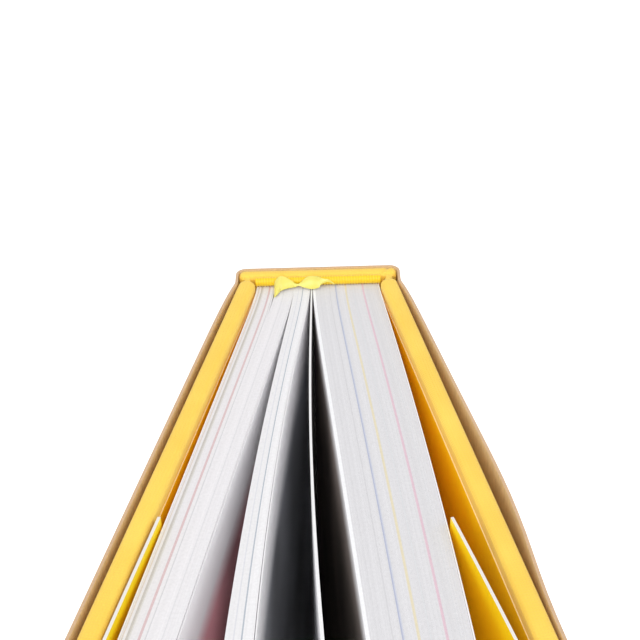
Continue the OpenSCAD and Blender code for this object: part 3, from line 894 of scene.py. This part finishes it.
class BOOK_OT_bands(bpy.types.Operator):
    """Sew the ribbed bands over the head and the tail of the leaves"""

    bl_idname = "book.bands"
    bl_label = "Head and tail bands"

    # How far the bead's middle lies in front of the spine's inner face, and over the leaves as a share of the
    # bead's half height.
    BEAD_FRONT, BEAD_OVER = 0.6 * MM, 0.88
    # The depth of the grooves between the ribs as a share of the bead, and how far the ribs wind round it.
    GROOVE, WIND = 0.06, 0.6
    # How much shorter the tape is than the whole band.
    TAPE_SHORT = 1.4 * MM
    # The place of the stitches: in front of the bead's middle as a share of its half depth, and over the
    # leaves.
    STITCH_FRONT, STITCH_OVER = 0.76, 0.2 * MM

    def execute(self, context):
        for name, sign, edge in (("head", 1, HEAD), ("tail", -1, TAIL)):
            low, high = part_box(name + "_band")
            ribs = round((high.x - low.x) / sizes().rib)
            bm = bmesh.new()
            self.bead(bm, low, high, ribs, edge + sign * self.BEAD_OVER * sizes().bead_high)
            self.tape(bm, low, high)
            self.stitches(bm, low, high, ribs, edge + sign * self.STITCH_OVER)
            askew(bm)
            stock = [band_silk(), fibre_stock("stitch_thread")]
            piece = finish_piece(name + "_band_silk", bm, stock, 70)
            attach(piece, "root")
            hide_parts(name + "_band")
        return {"FINISHED"}

    def bead(self, bm, low, high, ribs, middle_z):
        """The wound bead: a grid rolled into a tube that swells at each rib."""
        rib = bm.verts.layers.float.new("rib")
        middle_y = SPINE_FRONT - self.BEAD_FRONT
        grid = bmesh.ops.create_grid(bm, x_segments=ribs * 6, y_segments=16, size=0.5)["verts"]
        for vert in grid:
            share, angle = vert.co.x + 0.5, (vert.co.y + 0.5) * math.tau
            crown = 0.5 - 0.5 * math.cos(math.tau * share * ribs + self.WIND * math.cos(angle))
            # The crown also goes to the silk, where it paints a highlight on the crowns and shade between
            # them.
            vert[rib] = crown
            reach = 1 - self.GROOVE * (1 - crown)
            vert.co = (low.x + (high.x - low.x) * share,
                       middle_y + sizes().bead_deep * reach * math.sin(angle),
                       middle_z + sizes().bead_high * reach * math.cos(angle))
        bmesh.ops.remove_doubles(bm, verts=grid, dist=0.001 * MM)
        bmesh.ops.holes_fill(bm, edges=[edge for edge in bm.edges if edge.is_boundary], sides=0)
        bmesh.ops.recalc_face_normals(bm, faces=bm.faces)

    def tape(self, bm, low, high):
        """The band's tape, glued to the back of the leaves."""
        middle, half_w = (low.x + high.x) / 2, (FANS["back"][1][0] - FANS["front"][0][0]) * MM / 2
        add_box(bm, Vector((middle - half_w, BLOCK_BACK, low.z + self.TAPE_SHORT / 2)),
                Vector((middle + half_w, SPINE_FRONT, high.z - self.TAPE_SHORT / 2)))

    def stitches(self, bm, low, high, ribs, up):
        """Dark stitches between the bead and the leaves, one at each rib."""
        front = SPINE_FRONT - self.BEAD_FRONT - self.STITCH_FRONT * sizes().bead_deep
        for place in range(ribs):
            made = bmesh.ops.create_uvsphere(bm, u_segments=6, v_segments=4, radius=sizes().stitch)["verts"]
            across = low.x + (high.x - low.x) * place / ribs
            bmesh.ops.translate(bm, vec=(across, front, up), verts=made)
            for face in {face for vert in made for face in vert.link_faces}:
                face.material_index = 1


class BOOK_OT_ribbon(bpy.types.Operator):
    """Lay the twisted ribbon marker over the head and down between the leaves"""

    bl_idname = "book.ribbon"
    bl_label = "Ribbon marker"

    def execute(self, context):
        path = smooth_path(RIBBON_ROUTE, 8) + self.hanging()
        bm = bmesh.new()
        grid = bmesh.ops.create_grid(bm, x_segments=len(path) - 1, y_segments=8, size=0.5)["verts"]
        uv = bm.loops.layers.uv.new("ribbon")
        lengths = [np.linalg.norm((b - a)[:3]) for a, b in zip(path, path[1:])]
        run = np.concatenate(([0], np.cumsum(lengths)))
        on_cloth = {}
        for vert in grid:
            row, side = round((vert.co.x + 0.5) * (len(path) - 1)), vert.co.y + 0.5
            on_cloth[vert] = (run[row] * MM, side * sizes().ribbon_w)
            front, back, stand = Vector(path[row][:3]), Vector(path[row][3:6]), path[row][6]
            across = back - front
            level = abs(across.y) + abs(across.z) == 0
            outward = UP if level else Vector((0, -across.z, across.y)).normalized()
            place = front + across * side + outward * stand * 4 * side * (1 - side)
            vert.co = place * MM + UP * HEAD
        for face in bm.faces:
            for loop in face.loops:
                loop[uv].uv = on_cloth[loop.vert]
        bmesh.ops.recalc_face_normals(bm, faces=bm.faces)
        bmesh.ops.solidify(bm, geom=bm.faces[:], thickness=sizes().ribbon_t)
        bmesh.ops.recalc_face_normals(bm, faces=bm.faces)
        piece = finish_piece("ribbon", bm, [ribbon_satin()], 60)
        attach(piece, "root")
        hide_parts("ribbon_marker")
        return {"FINISHED"}

    def hanging(self):
        """The stretch between the leaves, which follows their curve and opens to the ribbon's full width."""
        low = (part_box("ribbon_marker")[0].z - HEAD) / MM
        curve = fan_between("front", RIBBON_SHARE)
        back_y = -3.3
        rows = []
        # Heights above the leaves, and depths of the ribbon's front edge, in mm.
        for up, front_y in ((-5, -7.9), (-15, -9.2), (low / 2, -9.3), (low, -9.3)):
            front_x, back_x = (fan_x(curve, BLOCK_BACK / MM - y) for y in (front_y, back_y))
            rows.append(np.array((front_x, front_y, up, back_x, back_y, up, 0.0)))
        return rows


class BOOK_OT_jacket(bpy.types.Operator):
    """Fold the card jacket round the case, one half for each cover"""

    bl_idname = "book.jacket"
    bl_label = "Jacket"

    # The slack between each cover and the jacket, in mm, at shares of the way from the joint to the fold.
    SLACK = {
        "front": ((0.0, 0.95), (0.5, 1.0), (1.0, 0.95)),
        "back": ((0.0, 1.15), (0.1, 1.2), (0.25, 1.65), (0.42, 2.25), (0.51, 1.95), (0.6, 0.9), (0.66, 0.5),
                 (0.78, 0.4), (1.0, 0.4)),
    }
    # How sharply each flap curls towards its free edge. The back flap has kept more of its curl.
    CURL = {"front": 3.0, "back": 1.5}
    # The radius of the bend at the spine's edges, and how near to the joint the card is still straight.
    BEND, NEAR = 2 * MM, 0.4 * MM
    # The card's finishes, in the order of its materials, and a point that all inner faces look to.
    STOCKS = ("kraft_lined_card", "card_core", "printed_flap_card", "kraft_card_cut_edge",
              "kraft_card_lining")
    CORE, PRINT, EDGE, LINING = range(1, 5)
    WITHIN = Vector((0, -75 * MM))

    def execute(self, context):
        for cover in COVERS:
            self.half(cover)
        return {"FINISHED"}

    def half(self, cover):
        """From the middle of the spine, over a cover and round its fore edge to the flap's free edge."""
        thick = sizes().jacket_t
        slack = np.array(smooth_path(self.SLACK[cover.side], 8)).T
        # The round fold at the fore edge: its place along the cover, the middle of its round, and its radius.
        outside = cover.thick + slack[1][-1] * MM + thick / 2
        middle, radius = (outside - sizes().flap_in) / 2, (outside + sizes().flap_in) / 2
        reach = cover.reach("jacket_" + cover.side)[1][0] - cover.start
        fold = reach - thick / 2 - radius
        route = self.round_spine(cover) + self.over_cover(cover, slack, fold)
        for step in range(1, 16):
            angle = math.radians(180 * step / 16)
            route.append(cover.point(fold + radius * math.sin(angle), middle + radius * math.cos(angle)))
        lift = sizes().front_lift if cover.sign < 0 else sizes().back_lift
        for step in range(31):
            share = step / 30
            route.append(cover.point(fold - sizes().flap_w * share,
                                     -sizes().flap_in - lift * share ** self.CURL[cover.side]))
        bm = bmesh.new()
        half_t = cover.sign * thick / 2
        raise_between(bm, beside(route, half_t), beside(route, -half_t), JACKET_LOW.z, JACKET_HIGH.z, cuts=10)
        self.face_card(bm, cover, fold, middle)
        papers = [fibre_stock(name) for name in self.STOCKS]
        piece = finish_piece("jacket_" + cover.side + "_half", bm, papers)
        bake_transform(piece)
        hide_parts("jacket_" + cover.side, "jacket_spine")

    def round_spine(self, cover):
        """The route from the middle of the spine's back round its edge to the joint."""
        sign, joint_y, bend = cover.sign, cover.hinge.y, self.BEND
        off = sizes().jacket_seat + sizes().jacket_t / 2
        side_x, back_y = SPINE_EDGE + off, SPINE_HIGH.y + off
        route = [(sign * side_x * step / 4, back_y) for step in range(4)]
        for step in range(9):
            angle = math.radians(90 * step / 8)
            route.append((sign * (side_x - bend + bend * math.sin(angle)),
                          back_y - bend + bend * math.cos(angle)))
        route += [(sign * side_x, y) for y in np.linspace(back_y - bend, joint_y + self.NEAR, 9)[1:]]
        return [(x, y + SKEW * x * (y - joint_y) / (back_y - joint_y)) for x, y in route]

    def over_cover(self, cover, slack, fold):
        """The route from the joint to the fold, which springs off the cover and follows its slack."""
        route = []
        for step in range(41):
            along = self.NEAR + (fold - self.NEAR) * (step / 40) ** 1.5
            gap = np.interp(along / fold, *slack) * MM
            seat = (slack[1][0] * MM - sizes().jacket_seat) * math.exp(-along / sizes().jacket_spring)
            route.append(cover.point(along, cover.thick + gap - seat + sizes().jacket_t / 2))
        return route

    def face_card(self, bm, cover, fold, middle):
        """Give the card's outer faces, inner faces, flaps and cut edges their finishes."""
        to_cover = cover.place.inverted()
        free_edge = fold - sizes().flap_w
        for face in bm.faces:
            centre = face.calc_center_median()
            along, out, _ = to_cover @ centre
            normal = to_cover.to_3x3() @ face.normal
            flap_side = out < middle and centre.y < cover.hinge.y
            flap_end = flap_side and along < free_edge + 0.05 * MM
            on_flap = flap_side and along > free_edge - MM
            if abs(normal.z) > 0.5 or flap_end or abs(centre.x) < 0.01 * MM:
                face.material_index = self.CORE if on_flap else self.EDGE
            elif on_flap:
                away = Vector((along - fold, out - middle)) if along > fold else Vector((0, -1))
                face.material_index = self.PRINT if normal.xy.dot(away) > 0 else self.LINING
            # Inner faces, like the flaps' backs, take the paler kraft that is painted light.
            elif face.normal.xy.dot(centre.xy - self.WITHIN) < 0:
                face.material_index = self.LINING


class BOOK_OT_hidden_boards(bpy.types.Operator):
    """Finish the boards and the lining, which the cloth and the leaves mostly hide"""

    bl_idname = "book.hidden_boards"
    bl_label = "Boards and lining"

    def execute(self, context):
        low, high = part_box("spine_board")
        # The board's edges are a little tighter than the cloth over them.
        bm = rounded_slab(low, high, 0.7 * sizes().cloth_round)
        askew(bm)
        piece = finish_piece("spine_greyboard", bm, [fibre_stock("greyboard")])
        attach(piece, "root")
        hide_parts("spine_board")
        finishes = {"front_board": "greyboard", "back_board": "greyboard", "spine_lining": "mull_gauze"}
        for node, name in finishes.items():
            for slot in frame["nodes"][node].material_slots:
                slot.material = fibre_stock(name)
        return {"FINISHED"}


class BOOK_PT_sidebar(bpy.types.Panel):
    """Lists the book's pieces and their sizes and colours"""

    bl_idname = "BOOK_PT_sidebar"
    bl_label = "Hardcover photo book"
    bl_space_type = "VIEW_3D"
    bl_region_type = "UI"
    bl_category = "Book"

    def draw(self, context):
        for operator in OPERATORS:
            self.layout.operator(operator.bl_idname)
        for group in (context.scene.book_sizes, context.scene.book_colours):
            column = self.layout.column()
            for name in group.bl_rna.properties.keys()[2:]:
                column.prop(group, name)


OPERATORS = (BOOK_OT_stage, BOOK_OT_case_cloth, BOOK_OT_endpapers, BOOK_OT_leaves, BOOK_OT_bands,
             BOOK_OT_ribbon, BOOK_OT_jacket, BOOK_OT_hidden_boards)
CLASSES = (BookSizes, BookColours, *OPERATORS, BOOK_PT_sidebar)


def register():
    for entry in CLASSES:
        bpy.utils.register_class(entry)
    bpy.types.Scene.book_sizes = PointerProperty(type=BookSizes)
    bpy.types.Scene.book_colours = PointerProperty(type=BookColours)


def unregister():
    del bpy.types.Scene.book_colours
    del bpy.types.Scene.book_sizes
    for entry in reversed(CLASSES):
        bpy.utils.unregister_class(entry)


def main():
    register()
    for operator in OPERATORS:
        group, name = operator.bl_idname.split(".")
        getattr(getattr(bpy.ops, group), name)()


if __name__ == "__main__":
    main()
